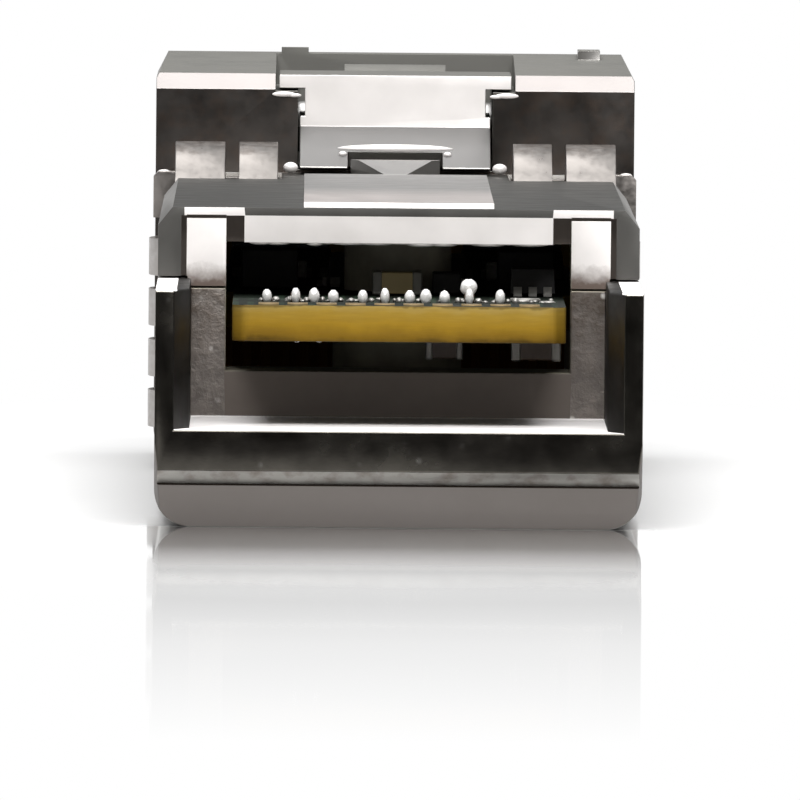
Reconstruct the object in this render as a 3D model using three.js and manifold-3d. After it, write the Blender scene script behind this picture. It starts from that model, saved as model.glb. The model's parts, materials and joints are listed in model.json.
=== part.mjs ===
// Pluggable optical transceiver module, duplex LC, in millimetres.
//
// +Z is up and is the latch side of the module: it lies on its label side, z = 0.
// +X is across the width, and +Y runs from the host end (edge connector) to the optical end.
// The origin is at the middle of the module's box, on the face it lies on.
// Inside the file, y is measured from the host end, and the outer group moves it to the middle.

import * as THREE from 'three';
import { mergeVertices } from 'three/addons/utils/BufferGeometryUtils.js';
import Module from 'manifold-3d';

const wasm = await Module();
wasm.setup();

// ---------------------------------------------------------------- driving dimensions

const OVERALL_LENGTH = 56.5;
const BODY_WIDTH = 13.4;
const BODY_HEIGHT = 8.5;
const BODY_CHAMFER = [0.4, 0.5]; // long edges of the latch side, across and down
const BODY_RADIUS = 1.0; // long edges of the label side
const NOSE_START = 47.5; // stop shoulder outside the cage
const NOSE_WIDTH = 14.0;
const NOSE_HEIGHT = 11.85;
const NOSE_CHAMFER = [0.3, 0.6]; // across the width, then down the side
const PARTING_Z = 6.28; // parting plane of the two castings
const PARTING_GAP = 0.06;
const SKIRT_TOP = 6.55; // outer walls of the label side lap past the parting plane

const TRAY_END = 10.4; // the host connector's opening
const TRAY_FLOOR = 2.67;
const SKIRT_INNER = 5.77;
const SKIRT_MOUTH = 6.18; // the skirts open out towards the host end
const LAP_HALF = 5.9; // the lap joint of the outer walls
const WALL_TOP = 7.67; // inside face of the latch-side wall
const THROAT_TOP = 7.53;
const THROAT_HALF = 4.8;
const THROAT_END = 14.5;
const THROAT_SILL = 3.95;
const BLOCK_GAP = 0.15; // between the latch side's blocks and its outer walls

const CAVITY_HALF = 5.4;
const CAVITY_FLOOR = 1.0;
const LEDGE_HALF = 4.9; // the board rests on ledges outside this
const OPTICS_START = 36.9; // bay that holds the optical subassemblies
const OPTICS_HALF = 6.0;

const BOARD_BOTTOM = 5.02;
const BOARD_TOP = 6.02;
const BOARD_REAR = 3.2;
const BOARD_FRONT = 36.6;
const TONGUE_HALF = 4.6;
const BOARD_HALF = 5.3;

const PORT_PITCH = 6.25;
const PORT_Z = 4.75;
const PORT_SIZE = 4.8;
const PORT_BACK = 46.5;
const INSERT_REAR = 44.6;
const INSERT_FRONT = 55.8;
const INSERT_HALF = 5.95;
const INSERT_BOTTOM = 1.3;
const INSERT_TOP = 7.6;

const PIVOT_Y = 54.2;
const PIVOT_Z = 9.7;
const PIVOT_RADIUS = 0.75;
const PIVOT_CLEARANCE = 0.05;
const CAM_RADIUS = 0.8;
const CAM_OFFSET = 1.05;
const BAIL_INNER = 6.2;
const BAIL_OUTER = 6.98;
const BAIL_RECESS = 52.95; // the nose is cut back here for the bail

const CHANNEL_END = 55.9; // the actuator's T-shaped channel
const CHANNEL_FLOOR = 8.6;
const CHANNEL_HALF = 2.85;
const CHANNEL_SHOULDER = 10.9;
const CHANNEL_HALF_WIDE = 3.5;
const SLIDER_REAR = 47.75;
const SLIDER_FRONT = 53.15;
const SLIDER_TOP = 11.38;

const BOSS_WIDTH = 2.6;
const BOSS_SHOULDER = 45.0; // latch shoulder
const BOSS_LENGTH = 2.5;
const BOSS_TOP = 8.97;

const COLLAR_REAR = 40.8;
const COLLAR_FRONT = 47.3;
const COLLAR_BAND = 46.0; // the fingers spring from the band in front of this
const COLLAR_SHEET = 0.15;
const COLLAR_INSET = 0.1;
const GROOVE_DEPTH = 0.3;

const SCREW_PLACES = { rear: 17.0, front: 32.6 };
const SCREW_RADIUS = 0.6;
const SCREW_HEAD_RADIUS = 1.05;

const LABEL = { half: 5.4, rear: 19.5, front: 39.5, recess: 0.15, thickness: 0.1 };

const ROUND_SEGMENTS = 32;
const ARC_SEGMENTS = 8;

const HALF_WIDTH = BODY_WIDTH / 2;
const HALF_NOSE = NOSE_WIDTH / 2;
const HALF_PORT = PORT_SIZE / 2;
const HALF_PITCH = PORT_PITCH / 2;

// ---------------------------------------------------------------- finishes

const finish = (color, roughness, metalness) => ({ color, roughness, metalness });
const NICKEL = finish(0x9c9590, 0.28, 1);
const NICKEL_DARK = finish(0x7f7975, 0.4, 1);
const SPRING_STEEL = finish(0xb9b2a8, 0.25, 1);
const STEEL = finish(0xa3a3a3, 0.3, 1);
const PLATED_GOLD = finish(0xd0a84c, 0.3, 1);
const BLACK_PLASTIC = finish(0x161618, 0.55, 0);
const CLEAR_AMBER = finish(0x5d4326, 0.4, 0);
const CERAMIC = finish(0xf2efe6, 0.35, 0);
const BOARD_GREEN = finish(0x8c7a2c, 0.6, 0);
const FLEX_AMBER = finish(0xb06d1e, 0.45, 0);
const CHIP_BLACK = finish(0x1b1b1d, 0.5, 0);
const CAPACITOR_BROWN = finish(0x7a5f46, 0.5, 0);
const FERRITE_GREY = finish(0x3a3a3c, 0.6, 0);
const PAD_GREY = finish(0x8d96a0, 0.9, 0);
const LABEL_WHITE = finish(0xe9e9e6, 0.6, 0);

// ---------------------------------------------------------------- solids from geometries

// Turns a closed geometry into a solid, with its faces pointing out.
function toSolid(geometry) {
  const bare = geometry.clone();
  bare.deleteAttribute('normal');
  bare.deleteAttribute('uv');
  const merged = mergeVertices(bare, 1e-5);
  const positions = Float32Array.from(merged.attributes.position.array);
  const index = merged.index.array;
  const a = new THREE.Vector3();
  const b = new THREE.Vector3();
  const c = new THREE.Vector3();
  const triangles = [];
  let volume = 0;
  for (let i = 0; i < index.length; i += 3) {
    const [p, q, r] = [index[i], index[i + 1], index[i + 2]];
    if (p === q || q === r || r === p) continue;
    triangles.push(p, q, r);
    a.fromArray(positions, 3 * p);
    b.fromArray(positions, 3 * q);
    c.fromArray(positions, 3 * r);
    volume += a.dot(b.cross(c));
  }
  if (volume < 0) {
    triangles.reverse();
  }
  const triVerts = Uint32Array.from(triangles);
  return new wasm.Manifold(new wasm.Mesh({ numProp: 3, vertProperties: positions, triVerts }));
}

function toGeometry(solid) {
  const mesh = solid.getMesh();
  const geometry = new THREE.BufferGeometry();
  geometry.setAttribute('position', new THREE.BufferAttribute(mesh.vertProperties, 3));
  geometry.setIndex(new THREE.BufferAttribute(mesh.triVerts, 1));
  geometry.computeVertexNormals();
  return geometry;
}

const joined = (...solids) => solids.reduce((sum, solid) => sum.add(solid));
const cut = (solid, ...cutters) => cutters.reduce((rest, cutter) => rest.subtract(cutter), solid);

function box(xRange, yRange, zRange) {
  const size = [xRange, yRange, zRange].map(([low, high]) => high - low);
  const middle = [xRange, yRange, zRange].map(([low, high]) => (low + high) / 2);
  return toSolid(new THREE.BoxGeometry(...size).translate(...middle));
}

const centredBox = (half, yRange, zRange) => box([-half, half], yRange, zRange);

function extruded(shape, length, axes) {
  const options = { depth: length, bevelEnabled: false, curveSegments: ARC_SEGMENTS };
  return new THREE.ExtrudeGeometry(shape, options).applyMatrix4(axes);
}

// Axes that carry an outline's own (x, y) and its extrusion onto the module's axes.
const OUTLINE_XZ = new THREE.Matrix4().set(1, 0, 0, 0, 0, 0, -1, 0, 0, 1, 0, 0, 0, 0, 0, 1);
const OUTLINE_YZ = new THREE.Matrix4().set(0, 0, 1, 0, 1, 0, 0, 0, 0, 1, 0, 0, 0, 0, 0, 1);
const OUTLINE_XY = new THREE.Matrix4();

// An outline seen from the end (x, z), running along the module's length.
function alongLength(shape, [rear, front]) {
  return toSolid(extruded(shape, front - rear, OUTLINE_XZ).translate(0, front, 0));
}

// An outline seen from the side (y, z), running across the width.
function acrossWidth(shape, [left, right]) {
  return toSolid(extruded(shape, right - left, OUTLINE_YZ).translate(left, 0, 0));
}

// An outline seen from above (x, y), standing upright.
function upright(shape, [bottom, top]) {
  return toSolid(extruded(shape, top - bottom, OUTLINE_XY).translate(0, 0, bottom));
}

const polygon = (points) => new THREE.Shape(points.map(([x, y]) => new THREE.Vector2(x, y)));

// Revolves a profile of [radius, y] points about an axis along the module's length.
function turned(profile, x, z) {
  const points = profile.map(([radius, y]) => new THREE.Vector2(radius, y));
  return toSolid(new THREE.LatheGeometry(points, ROUND_SEGMENTS).translate(x, 0, z));
}

// Revolves a profile of [radius, z] points about a vertical axis.
function turnedUpright(profile, x, y) {
  const points = profile.map(([radius, z]) => new THREE.Vector2(radius, z));
  const lathe = new THREE.LatheGeometry(points, ROUND_SEGMENTS).rotateX(Math.PI / 2);
  return toSolid(lathe.translate(x, y, 0));
}

function rod(radius, [low, high], axis, at) {
  const cylinder = new THREE.CylinderGeometry(radius, radius, high - low, ROUND_SEGMENTS);
  cylinder.translate(0, (low + high) / 2, 0);
  if (axis === 'x') cylinder.rotateZ(-Math.PI / 2).translate(0, at[0], at[1]);
  if (axis === 'y') cylinder.translate(at[0], 0, at[1]);
  if (axis === 'z') cylinder.rotateX(Math.PI / 2).translate(at[0], at[1], 0);
  return toSolid(cylinder);
}

// Cross-section of the body: round label-side edges, chamfered latch-side edges.
function bodyOutline(inset = 0, half = HALF_WIDTH, top = BODY_HEIGHT, chamfer = BODY_CHAMFER) {
  const side = half - inset;
  const bottom = inset;
  const crown = top - inset;
  const radius = Math.max(BODY_RADIUS - inset, 0.1);
  const [across, down] = chamfer;
  const shape = new THREE.Shape();
  shape.moveTo(-side + radius, bottom);
  shape.lineTo(side - radius, bottom);
  shape.absarc(side - radius, bottom + radius, radius, -Math.PI / 2, 0);
  shape.lineTo(side, crown - down);
  shape.lineTo(side - across, crown);
  shape.lineTo(-side + across, crown);
  shape.lineTo(-side, crown - down);
  shape.lineTo(-side, bottom + radius);
  shape.absarc(-side + radius, bottom + radius, radius, Math.PI, 1.5 * Math.PI);
  return shape;
}

// ---------------------------------------------------------------- castings

// The ring-shaped groove that the spring collar sits in.
function collarGroove() {
  const span = [COLLAR_REAR - 0.2, COLLAR_FRONT + 0.05];
  const outside = alongLength(bodyOutline(-1), span);
  const core = alongLength(bodyOutline(GROOVE_DEPTH), [span[0] - 1, span[1] + 1]);
  const actuatorLand = centredBox(3.3, [span[0] - 1, span[1] + 1], [7, 12]);
  return cut(outside, core, actuatorLand);
}

// One box on each side of the module, given as distances from the middle plane.
const mirroredBoxes = ([inner, outer], yRange, zRange) =>
  [box([-outer, -inner], yRange, zRange), box([inner, outer], yRange, zRange)];

// Tapers the lower side edges of the host end; the taper fades out along the length.
function sideTaper(side) {
  const section = [[HALF_WIDTH, 2.4], [HALF_WIDTH - 0.27, 0], [6.3, -1], [8, -1], [8, 2.4]];
  const slanted = new THREE.Matrix4().set(1, side * 0.13, 0, 0, 0, 1, 0, 0, 0, 0, 1, 0, 0, 0, 0, 1);
  const prism = extruded(polygon(section.map(([x, z]) => [side * x, z])), 3, OUTLINE_XZ);
  return toSolid(prism.translate(0, 2, 0).applyMatrix4(slanted));
}

function labelSideShell() {
  const bottomPart = joined(
    centredBox(8, [-1, 60], [-1, PARTING_Z - PARTING_GAP / 2]),
    ...mirroredBoxes([SKIRT_INNER, 8], [-1, TRAY_END], [5, SKIRT_TOP - PARTING_GAP / 2]),
    ...mirroredBoxes([LAP_HALF + PARTING_GAP / 2, 8], [TRAY_END - 1, 60], [5, SKIRT_TOP - PARTING_GAP / 2]),
  );
  const block = alongLength(bodyOutline(), [0, NOSE_START - 0.05]).intersect(bottomPart);
  const mouth = polygon([
    [-SKIRT_MOUTH, -1], [SKIRT_MOUTH, -1], [SKIRT_MOUTH, 0], [SKIRT_INNER, 1.2], [SKIRT_INNER, TRAY_END],
    [-SKIRT_INNER, TRAY_END], [-SKIRT_INNER, 1.2], [-SKIRT_MOUTH, 0],
  ]);
  const tray = upright(mouth, [TRAY_FLOOR, 9]);
  const throat = centredBox(THROAT_HALF, [TRAY_END - 1, THROAT_END], [THROAT_SILL, 9]);
  const cavity = centredBox(LEDGE_HALF, [THROAT_END - 1, OPTICS_START + 1], [CAVITY_FLOOR, 9]);
  const sillKept = centredBox(THROAT_HALF, [THROAT_END - 1, THROAT_END], [0, THROAT_SILL]);
  const boardBed = centredBox(CAVITY_HALF, [THROAT_END, OPTICS_START + 1], [BOARD_BOTTOM - 0.02, 9]);
  const opticsBay = centredBox(OPTICS_HALF, [OPTICS_START, 60], [CAVITY_FLOOR, 9]);
  const { half, rear, front, recess } = LABEL;
  const labelRecess = centredBox(half + 0.1, [rear - 0.1, front + 0.1], [-1, recess]);
  // Lead-in of the host end: a chamfer, a fine seam line and a sloped lower face.
  const leadIn = polygon([
    [-1, -1], [0.75, -1], [0.6, 0], [0.3, 1.15], [0.42, 1.2], [0, 1.57], [-1, 1.57],
  ]);
  const shell = cut(
    block, tray, throat, cut(cavity, sillKept), boardBed, opticsBay, labelRecess, collarGroove(),
    acrossWidth(leadIn, [-8, 8]), sideTaper(-1), sideTaper(1),
  );
  const posts = Object.values(SCREW_PLACES).map((y) =>
    rod(1.8, [CAVITY_FLOOR - 0.3, BOARD_BOTTOM - 0.02], 'z', [0, y]));
  const bores = Object.values(SCREW_PLACES).map((y) => joined(
    rod(SCREW_RADIUS + 0.08, [-1, 7], 'z', [0, y]),
    rod(SCREW_HEAD_RADIUS + 0.1, [-1, 0.95], 'z', [0, y]),
  ));
  return cut(joined(shell, ...posts), ...bores);
}

// The nose with its sloping latch side, before its openings are cut.
function noseBlock() {
  const rearBevel = 0.45;
  const rearTop = 11.4;
  const side = polygon([
    [NOSE_START, 0], [OVERALL_LENGTH, 0], [OVERALL_LENGTH, NOSE_HEIGHT],
    [NOSE_START + rearBevel, rearTop], [NOSE_START, rearTop - rearBevel],
  ]);
  const end = bodyOutline(0, HALF_NOSE, NOSE_HEIGHT, NOSE_CHAMFER);
  const block = acrossWidth(side, [-8, 8]).intersect(alongLength(end, [NOSE_START, OVERALL_LENGTH]));
  const stops = [[-3.35, -2.55], [5.4, 6.05]].map((xRange) =>
    box(xRange, [54.2, OVERALL_LENGTH - 0.4], [NOSE_HEIGHT - 0.6, 12]));
  return joined(block, ...stops);
}

// Wedge-shaped boss that the cage's latch drops over, pointed towards the host end.
function latchBoss() {
  const half = BOSS_WIDTH / 2;
  const tip = 0.35;
  const rear = BOSS_SHOULDER - BOSS_LENGTH;
  const plan = polygon([[-tip, rear], [tip, rear], [half, BOSS_SHOULDER], [-half, BOSS_SHOULDER]]);
  const ramp = polygon([
    [rear - 0.1, BODY_HEIGHT - 0.3], [BOSS_SHOULDER + 0.1, BODY_HEIGHT - 0.3],
    [BOSS_SHOULDER + 0.1, BOSS_TOP], [BOSS_SHOULDER - 0.6, BOSS_TOP], [rear - 0.1, BODY_HEIGHT + 0.1],
  ]);
  return upright(plan, [BODY_HEIGHT - 0.3, BOSS_TOP]).intersect(acrossWidth(ramp, [-2, 2]));
}

function latchSideShell() {
  const topPart = cut(
    centredBox(8, [TRAY_END, 60], [PARTING_Z + PARTING_GAP / 2, 13]),
    ...mirroredBoxes([LAP_HALF - PARTING_GAP / 2, 9], [0, NOSE_START], [5, SKIRT_TOP + PARTING_GAP / 2]),
  );
  const roof = alongLength(bodyOutline(), [TRAY_END, NOSE_START + 0.5]).intersect(topPart);
  const raisedStrip = cut(
    centredBox(2.65, [TRAY_END + 0.9, 41.5], [BODY_HEIGHT - 0.2, BODY_HEIGHT + 0.14]),
    acrossWidth(polygon([[10, 8.5], [11.3, 8.5], [11.7, 8.9], [10, 9]]), [-3, 3]),
  );
  const throat = centredBox(THROAT_HALF, [TRAY_END - 1, THROAT_END], [6, THROAT_TOP]);
  const cavity = centredBox(CAVITY_HALF, [THROAT_END, OPTICS_START + 1], [6, WALL_TOP]);
  const opticsBay = centredBox(OPTICS_HALF, [OPTICS_START, NOSE_START + 1], [1, WALL_TOP]);
  const window = centredBox(OPTICS_HALF, [NOSE_START - 1, 60], [INSERT_BOTTOM - 0.05, INSERT_TOP + 0.05]);
  const frontCut = centredBox(9, [BAIL_RECESS, 60], [-1, INSERT_TOP + 0.05]);
  const armRecesses = mirroredBoxes([6.12, 9], [BAIL_RECESS, 60], [5, 10.95]);
  const channel = joined(
    centredBox(CHANNEL_HALF, [47, CHANNEL_END], [CHANNEL_FLOOR, 13]),
    centredBox(CHANNEL_HALF_WIDE, [47, CHANNEL_END], [CHANNEL_SHOULDER, 13]),
  );
  const cornerRecesses = mirroredBoxes([4.3, THROAT_HALF], [9, TRAY_END + 0.8], [6, 8.27]);
  const blockGaps = mirroredBoxes([LAP_HALF, LAP_HALF + BLOCK_GAP], [9, TRAY_END + 0.6], [6, 8.27]);
  const blockGrooves = mirroredBoxes([THROAT_HALF, LAP_HALF], [9, TRAY_END + 0.3], [8.2, 8.29]);
  const pivotBore = rod(PIVOT_RADIUS + PIVOT_CLEARANCE, [-9, 9], 'x', [PIVOT_Y, PIVOT_Z]);
  const shell = cut(
    joined(roof, raisedStrip, noseBlock(), latchBoss()),
    throat, cavity, opticsBay, window, frontCut, ...armRecesses, channel, ...cornerRecesses,
    ...blockGaps, ...blockGrooves, collarGroove(), pivotBore,
  );
  const posts = Object.values(SCREW_PLACES).map((y) => rod(1.5, [BOARD_TOP + 0.02, 8], 'z', [0, y]));
  const springPost = centredBox(0.7, [48.95, 49.5], [CHANNEL_FLOOR - 0.3, 10.4]);
  const bores = Object.values(SCREW_PLACES).map((y) => rod(SCREW_RADIUS + 0.06, [5, 8.05], 'z', [0, y]));
  return cut(joined(shell, ...posts, springPost), ...bores);
}

// ---------------------------------------------------------------- spring collar

// A finger's side view: it rises from the band, bulges out and dips back to the surface.
function fingerOutline(bulge) {
  const length = COLLAR_BAND + 0.2 - COLLAR_REAR;
  const steps = 8;
  const outer = [];
  const inner = [];
  for (let i = 0; i <= steps; i++) {
    const t = i / steps;
    const rise = bulge * Math.sin(Math.PI * t) ** 1.3;
    outer.push([COLLAR_REAR + length * t, rise]);
    inner.push([COLLAR_REAR + length * t, rise - COLLAR_SHEET]);
  }
  return [...outer, ...inner.reverse()];
}

function springCollar() {
  const bandSpan = [COLLAR_BAND, COLLAR_FRONT];
  const band = cut(
    alongLength(bodyOutline(COLLAR_INSET), bandSpan),
    alongLength(bodyOutline(COLLAR_INSET + COLLAR_SHEET), [bandSpan[0] - 1, bandSpan[1] + 1]),
    centredBox(3.4, [bandSpan[0] - 1, bandSpan[1] + 1], [7, 10]),
  );
  const fingers = [];
  const sideBulge = 0.55;
  const sideFace = HALF_WIDTH - COLLAR_INSET;
  const cornerSection = [
    [6.5, 7.2], [7.05, 7.2], [7.05, 8.4], [6.9, 8.55], [6.2, 8.55], [6.1, 8.3], [6.5, 7.8],
  ];
  for (const side of [-1, 1]) {
    for (const z of [1.75, 3.22, 4.69, 6.16]) {
      const plan = fingerOutline(sideBulge).map(([y, rise]) => [side * (sideFace + rise), y]);
      fingers.push(upright(polygon(plan), [z - 0.54, z + 0.54]));
    }
    const topFace = BODY_HEIGHT - COLLAR_INSET;
    for (const [inner, outer] of [[3.42, 4.55], [4.95, 6.4]]) {
      const profile = fingerOutline(1.1).map(([y, rise]) => [y, topFace + rise]);
      const xRange = [side * inner, side * outer].sort((a, b) => a - b);
      fingers.push(acrossWidth(polygon(profile), xRange));
    }
    const corner = polygon(cornerSection.map(([x, z]) => [side * x, z]));
    fingers.push(alongLength(corner, bandSpan));
  }
  for (let i = -3; i <= 3; i++) {
    const x = i * 1.62;
    fingers.push(box([x - 0.6, x + 0.6], [COLLAR_REAR, COLLAR_BAND + 0.2],
      [COLLAR_INSET, COLLAR_INSET + COLLAR_SHEET]));
  }
  return joined(band, ...fingers);
}

// ---------------------------------------------------------------- latch release

function actuatorSlider() {
  const plate = centredBox(3.4, [SLIDER_REAR, SLIDER_FRONT], [10.97, SLIDER_TOP]);
  const stem = centredBox(2.65, [SLIDER_REAR, SLIDER_FRONT], [9.9, 10.98]);
  const foot = centredBox(2.79, [SLIDER_REAR, SLIDER_FRONT], [9.77, 10.17]);
  const wedge = acrossWidth(polygon([
    [45.6, 8.68], [SLIDER_FRONT, 8.68], [SLIDER_FRONT, 9.85], [SLIDER_REAR, 9.85], [45.6, 8.75],
  ]), [-2.79, 2.79]);
  const bossGap = centredBox(1.38, [45, 47.7], [8, 9.15]);
  const springSlot = centredBox(0.95, [48.85, 52.55], [8, 10.6]);
  return cut(joined(plate, stem, foot, wedge), bossGap, springSlot);
}

function returnSpring() {
  const wire = 0.11;
  const coil = 0.62;
  const turns = 4.5;
  const [start, end] = [49.7, 52.35];
  class Helix extends THREE.Curve {
    getPoint(t) {
      const angle = 2 * Math.PI * turns * t;
      const y = start + (end - start) * t;
      return new THREE.Vector3(coil * Math.cos(angle), y, 9.7 + coil * Math.sin(angle));
    }
  }
  const section = new THREE.Shape().absarc(0, 0, wire, 0, 2 * Math.PI);
  const options = { steps: 54, extrudePath: new Helix(), curveSegments: 3, bevelEnabled: false };
  return toSolid(new THREE.ExtrudeGeometry(section, options));
}

function bailFrame() {
  const width = 0.6;
  const arms = [-1, 1].map((side) => {
    const xRange = [side * BAIL_INNER, side * BAIL_OUTER].sort((a, b) => a - b);
    return joined(
      box(xRange, [PIVOT_Y - width, PIVOT_Y + width], [0.1, PIVOT_Z]),
      rod(1.1, xRange, 'x', [PIVOT_Y, PIVOT_Z]),
    );
  });
  const bar = centredBox(BAIL_OUTER, [PIVOT_Y - width, PIVOT_Y + width], [0.1, 1.0]);
  const bore = rod(PIVOT_RADIUS + PIVOT_CLEARANCE, [-9, 9], 'x', [PIVOT_Y, PIVOT_Z]);
  return cut(joined(...arms, bar), bore);
}

function bailGrip() {
  const rear = PIVOT_Y + 0.65;
  return upright(polygon([
    [-4.6, rear], [4.6, rear], [4.2, OVERALL_LENGTH - 0.35], [3.7, OVERALL_LENGTH - 0.05],
    [-3.7, OVERALL_LENGTH - 0.05], [-4.2, OVERALL_LENGTH - 0.35],
  ]), [0.12, 0.98]);
}

// The bail's shaft, with the cam that pushes the slider towards the host end.
function bailShaft() {
  const shaft = rod(PIVOT_RADIUS, [-BAIL_OUTER, BAIL_OUTER], 'x', [PIVOT_Y, PIVOT_Z]);
  const lobe = rod(CAM_RADIUS, [-1.5, 1.5], 'x', [PIVOT_Y, PIVOT_Z + CAM_OFFSET]);
  const web = box([-1.5, 1.5], [PIVOT_Y - CAM_RADIUS, PIVOT_Y + CAM_RADIUS], [PIVOT_Z, PIVOT_Z + CAM_OFFSET]);
  return joined(shaft, lobe, web);
}

// ---------------------------------------------------------------- optics

function opticalInsert() {
  const outer = centredBox(INSERT_HALF, [INSERT_REAR, INSERT_FRONT], [INSERT_BOTTOM, INSERT_TOP]);
  const openings = [-1, 1].flatMap((side) => {
    const x = side * HALF_PITCH;
    return [
      box([x - HALF_PORT, x + HALF_PORT], [PORT_BACK, 60], [PORT_Z - HALF_PORT, PORT_Z + HALF_PORT]),
      box([x - 1.5, x + 1.5], [PORT_BACK + 3.5, 60], [INSERT_BOTTOM + 0.4, PORT_Z]),
      rod(1.56, [40, PORT_BACK + 1], 'y', [x, PORT_Z]),
    ];
  });
  return cut(outer, ...openings);
}

// A subassembly's barrel: a socket for the can behind, a bored nozzle in front.
function opticalBarrel(x) {
  return turned([
    [2.42, 38.9], [2.65, 38.9], [2.65, 42.75], [1.48, 42.75], [1.48, 50.5], [0.86, 50.5],
    [0.86, 45.1], [0.4, 45.1], [0.4, 42.1], [2.42, 42.1], [2.42, 38.9],
  ], x, PORT_Z);
}

function opticalCan(x) {
  return turned([[0, 37.4], [2.8, 37.4], [2.8, 38.75], [2.3, 38.75], [2.3, 41.9], [0, 41.9]], x, PORT_Z);
}

const splitSleeve = (x) =>
  turned([[0.63, 45.3], [0.8, 45.3], [0.8, 50.2], [0.63, 50.2], [0.63, 45.3]], x, PORT_Z);

const fibreStub = (x) => turned([[0, 45.3], [0.58, 45.3], [0.58, 46.7], [0, 46.7]], x, PORT_Z);

function opticsClamp() {
  const plate = centredBox(5.9, [42.95, 44.4], [1.1, 7.5]);
  const holes = [-1, 1].map((side) => rod(1.62, [42, 46], 'y', [side * HALF_PITCH, PORT_Z]));
  return cut(plate, ...holes);
}

// Ribbon from a can's back up to the board's latch-side face.
function flexRibbon(x) {
  const sheet = 0.12;
  const outline = polygon([
    [34.9, BOARD_TOP + 0.03], [36.95, BOARD_TOP + 0.03], [37.03, BOARD_TOP - 0.05], [37.03, 2.7],
    [37.03 + sheet, 2.7], [37.03 + sheet, BOARD_TOP], [37.0, BOARD_TOP + 0.03 + sheet],
    [34.9, BOARD_TOP + 0.03 + sheet],
  ]);
  return acrossWidth(outline, [x - 2.1, x + 2.1]);
}

// ---------------------------------------------------------------- electronics

function circuitBoard() {
  const shoulder = THROAT_END + 0.3;
  const outline = polygon([
    [-TONGUE_HALF + 0.3, BOARD_REAR], [TONGUE_HALF - 0.3, BOARD_REAR], [TONGUE_HALF, BOARD_REAR + 0.3],
    [TONGUE_HALF, shoulder], [BOARD_HALF, shoulder], [BOARD_HALF, BOARD_FRONT], [-BOARD_HALF, BOARD_FRONT],
    [-BOARD_HALF, shoulder], [-TONGUE_HALF, shoulder], [-TONGUE_HALF, BOARD_REAR + 0.3],
  ]);
  const holes = Object.values(SCREW_PLACES).map((y) => rod(SCREW_RADIUS + 0.1, [0, 9], 'z', [0, y]));
  return cut(upright(outline, [BOARD_BOTTOM, BOARD_TOP]), ...holes);
}

// Board-mounted parts: name, place on the board, size along x, y and z, face they stand on, finish.
const LATCH_FACE = 1;
const LABEL_FACE = -1;
const BOARD_PARTS = [
  ['tantalum_capacitor', [-0.03, 12.9], [1.4, 1.3, 0.66], LATCH_FACE, CAPACITOR_BROWN],
  ['voltage_supervisor_ic', [3.75, 13.1], [1.25, 1.6, 0.75], LATCH_FACE, CHIP_BLACK],
  ['ferrite_bead', [1.35, 14.2], [0.8, 1.5, 0.6], LATCH_FACE, FERRITE_GREY],
  ['microcontroller_ic', [0, 21.6], [4, 4, 0.85], LATCH_FACE, CHIP_BLACK],
  ['crystal', [0, 25.5], [2.5, 1.6, 0.6], LATCH_FACE, STEEL],
  ['transmit_inductor', [-3.6, 18.6], [1.6, 2.0, 1.1], LATCH_FACE, FERRITE_GREY],
  ['receive_inductor', [3.6, 18.6], [1.6, 2.0, 1.1], LATCH_FACE, FERRITE_GREY],
  ['laser_driver_ic', [3.3, 29.8], [3, 3, 0.75], LATCH_FACE, CHIP_BLACK],
  ['limiting_amplifier_ic', [-3.3, 29.8], [3, 3, 0.75], LATCH_FACE, CHIP_BLACK],
  ['coupling_capacitor_a', [2.8, 26.6], [0.5, 1.0, 0.5], LATCH_FACE, CAPACITOR_BROWN],
  ['coupling_capacitor_b', [3.8, 26.6], [0.5, 1.0, 0.5], LATCH_FACE, CAPACITOR_BROWN],
  ['coupling_capacitor_c', [-2.8, 26.6], [0.5, 1.0, 0.5], LATCH_FACE, CAPACITOR_BROWN],
  ['coupling_capacitor_d', [-3.8, 26.6], [0.5, 1.0, 0.5], LATCH_FACE, CAPACITOR_BROWN],
  ['input_filter_capacitor', [3.85, 11.7], [1.4, 0.85, 0.75], LABEL_FACE, CAPACITOR_BROWN],
  ['output_filter_capacitor', [1.3, 12.4], [1.06, 0.85, 0.75], LABEL_FACE, PAD_GREY],
  ['memory_ic', [0, 24.5], [3, 3, 0.8], LABEL_FACE, CHIP_BLACK],
  ['supply_regulator_ic', [0, 29.5], [2.9, 2.4, 1.0], LABEL_FACE, CHIP_BLACK],
];

function boardPart([x, y], [width, length, height], face) {
  const clearance = 0.02;
  const base = face === LATCH_FACE ? BOARD_TOP + clearance : BOARD_BOTTOM - clearance;
  const zRange = [base, base + face * height].sort((a, b) => a - b);
  return box([x - width / 2, x + width / 2], [y - length / 2, y + length / 2], zRange);
}

const heatPad = (x) => box([x - 1.4, x + 1.4], [28.4, 31.2], [BOARD_TOP + 0.8, WALL_TOP - 0.03]);

const absorberPad = () => centredBox(4.2, [21, 30.3], [CAVITY_FLOOR + 0.03, CAVITY_FLOOR + 1.0]);

function coverScrew(y) {
  const headBottom = 0.2;
  const body = turnedUpright([
    [0, headBottom], [SCREW_HEAD_RADIUS, headBottom], [SCREW_HEAD_RADIUS, 0.5], [SCREW_RADIUS, 0.9],
    [SCREW_RADIUS, 7.7], [0.35, 7.95], [0, 7.95],
  ], 0, y);
  const drive = joined(
    box([-0.65, 0.65], [y - 0.13, y + 0.13], [0, 0.5]),
    box([-0.13, 0.13], [y - 0.65, y + 0.65], [0, 0.5]),
  );
  return cut(body, drive);
}

const blankLabel = () =>
  centredBox(LABEL.half, [LABEL.rear, LABEL.front], [0.03, 0.03 + LABEL.thickness]);

// ---------------------------------------------------------------- assembly

const transceiver = new THREE.Group();
transceiver.position.y = -OVERALL_LENGTH / 2;

function addPart(name, solid, look) {
  const mesh = new THREE.Mesh(toGeometry(solid), new THREE.MeshStandardMaterial(look));
  mesh.name = name;
  transceiver.add(mesh);
}

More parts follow.
